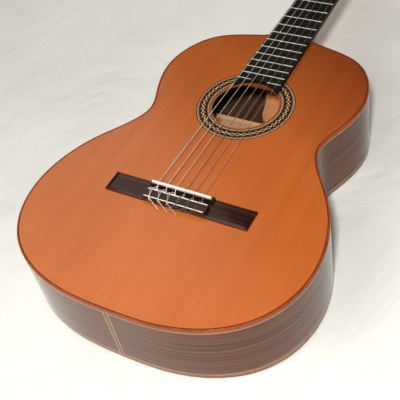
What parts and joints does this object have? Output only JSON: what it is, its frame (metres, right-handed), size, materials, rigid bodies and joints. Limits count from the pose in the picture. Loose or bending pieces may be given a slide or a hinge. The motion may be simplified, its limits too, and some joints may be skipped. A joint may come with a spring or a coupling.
{
  "type": "classical guitar",
  "caption": "Six-string classical guitar with a domed rosewood back, cedar top, slotted head and turning geared tuners.",
  "frame": {"origin": "on the centre line, half way along the whole instrument, level with the lowest point of the domed back", "axes": "+Y from the tail to the head along the strings, +X to the treble side, +Z out of the soundboard"},
  "size_m": [0.3748, 0.9906, 0.1111],
  "materials": {
    "cedar": "gloss",
    "rosette": "gloss",
    "binding": "gloss",
    "dark_line": "gloss",
    "rosewood": "gloss",
    "graft": "gloss",
    "pale_line": "gloss",
    "neck_wood": "satin",
    "spruce": "matte",
    "ebony": "satin",
    "bridge_wood": "satin",
    "nickel": "polished",
    "bone": "satin",
    "brass": "polished",
    "steel": "brushed",
    "roller_white": "gloss",
    "pearl": "gloss",
    "nylon": "gloss",
    "wound": "wound"
  },
  "bodies": {
    "root": {"soundboard": "cedar", "rosette": "rosette", "top_binding": "binding", "top_purfling": "dark_line", "side_bass": "rosewood", "side_treble": "rosewood", "tail_graft": "graft", "side_purfling": "pale_line", "back_binding": "binding", "back_halves": "rosewood", "back_center_inlay": "pale_line", "tail_block": "neck_wood", "neck": "neck_wood", "heel_cap": "binding", "back_braces": "spruce", "back_center_strip": "spruce", "linings": "spruce", "soundboard_braces": "spruce", "hole_strap": "neck_wood", "fretboard": "ebony", "frets": "nickel", "headstock": "neck_wood", "headstock_veneer": "rosewood", "tie_block_bone": "bone", "bridge": "bridge_wood", "saddle": "bone", "nut": "bone", "tuner_plate_bass": "brass", "tuner_plate_treble": "brass", "plate_screws": "steel", "string_1": "nylon", "string_2": "nylon", "string_3": "nylon", "string_4": "wound", "string_5": "wound", "string_6": "wound"},
    "tuner_1": {"roller_1": "roller_white", "gear_1": "brass"},
    "key_1": {"worm_1": "steel", "button_1": "pearl"},
    "tuner_2": {"roller_2": "roller_white", "gear_2": "brass"},
    "key_2": {"worm_2": "steel", "button_2": "pearl"},
    "tuner_3": {"roller_3": "roller_white", "gear_3": "brass"},
    "key_3": {"worm_3": "steel", "button_3": "pearl"},
    "tuner_4": {"roller_4": "roller_white", "gear_4": "brass"},
    "key_4": {"worm_4": "steel", "button_4": "pearl"},
    "tuner_5": {"roller_5": "roller_white", "gear_5": "brass"},
    "key_5": {"worm_5": "steel", "button_5": "pearl"},
    "tuner_6": {"roller_6": "roller_white", "gear_6": "brass"},
    "key_6": {"worm_6": "steel", "button_6": "pearl"}
  },
  "joints": [
    {"name": "tuner_1_turn", "type": "hinge", "parent": "root", "child": "tuner_1", "pos_m": [0, 0.36314, 0.07638], "axis": [1, 0, 0], "continuous": true},
    {"name": "key_1_turn", "type": "hinge", "parent": "root", "child": "key_1", "pos_m": [0.0409, 0.35523, 0.0785], "axis": [0, 0.2588, 0.9659], "continuous": true},
    {"name": "tuner_2_turn", "type": "hinge", "parent": "root", "child": "tuner_2", "pos_m": [0, 0.39695, 0.06732], "axis": [1, 0, 0], "continuous": true},
    {"name": "key_2_turn", "type": "hinge", "parent": "root", "child": "key_2", "pos_m": [0.0409, 0.38903, 0.06945], "axis": [0, 0.2588, 0.9659], "continuous": true},
    {"name": "tuner_3_turn", "type": "hinge", "parent": "root", "child": "tuner_3", "pos_m": [0, 0.43076, 0.05826], "axis": [1, 0, 0], "continuous": true},
    {"name": "key_3_turn", "type": "hinge", "parent": "root", "child": "key_3", "pos_m": [0.0409, 0.42284, 0.06039], "axis": [0, 0.2588, 0.9659], "continuous": true},
    {"name": "tuner_4_turn", "type": "hinge", "parent": "root", "child": "tuner_4", "pos_m": [0, 0.43076, 0.05826], "axis": [1, 0, 0], "continuous": true},
    {"name": "key_4_turn", "type": "hinge", "parent": "root", "child": "key_4", "pos_m": [-0.0409, 0.42284, 0.06039], "axis": [0, 0.2588, 0.9659], "continuous": true},
    {"name": "tuner_5_turn", "type": "hinge", "parent": "root", "child": "tuner_5", "pos_m": [0, 0.39695, 0.06732], "axis": [1, 0, 0], "continuous": true},
    {"name": "key_5_turn", "type": "hinge", "parent": "root", "child": "key_5", "pos_m": [-0.0409, 0.38903, 0.06945], "axis": [0, 0.2588, 0.9659], "continuous": true},
    {"name": "tuner_6_turn", "type": "hinge", "parent": "root", "child": "tuner_6", "pos_m": [0, 0.36314, 0.07638], "axis": [1, 0, 0], "continuous": true},
    {"name": "key_6_turn", "type": "hinge", "parent": "root", "child": "key_6", "pos_m": [-0.0409, 0.35523, 0.0785], "axis": [0, 0.2588, 0.9659], "continuous": true}
  ],
  "couplings": [
    {"joint": "tuner_1_turn", "follows": "key_1_turn", "ratio": 0.071429},
    {"joint": "tuner_2_turn", "follows": "key_2_turn", "ratio": 0.071429},
    {"joint": "tuner_3_turn", "follows": "key_3_turn", "ratio": 0.071429},
    {"joint": "tuner_4_turn", "follows": "key_4_turn", "ratio": 0.071429},
    {"joint": "tuner_5_turn", "follows": "key_5_turn", "ratio": 0.071429},
    {"joint": "tuner_6_turn", "follows": "key_6_turn", "ratio": 0.071429}
  ]
}
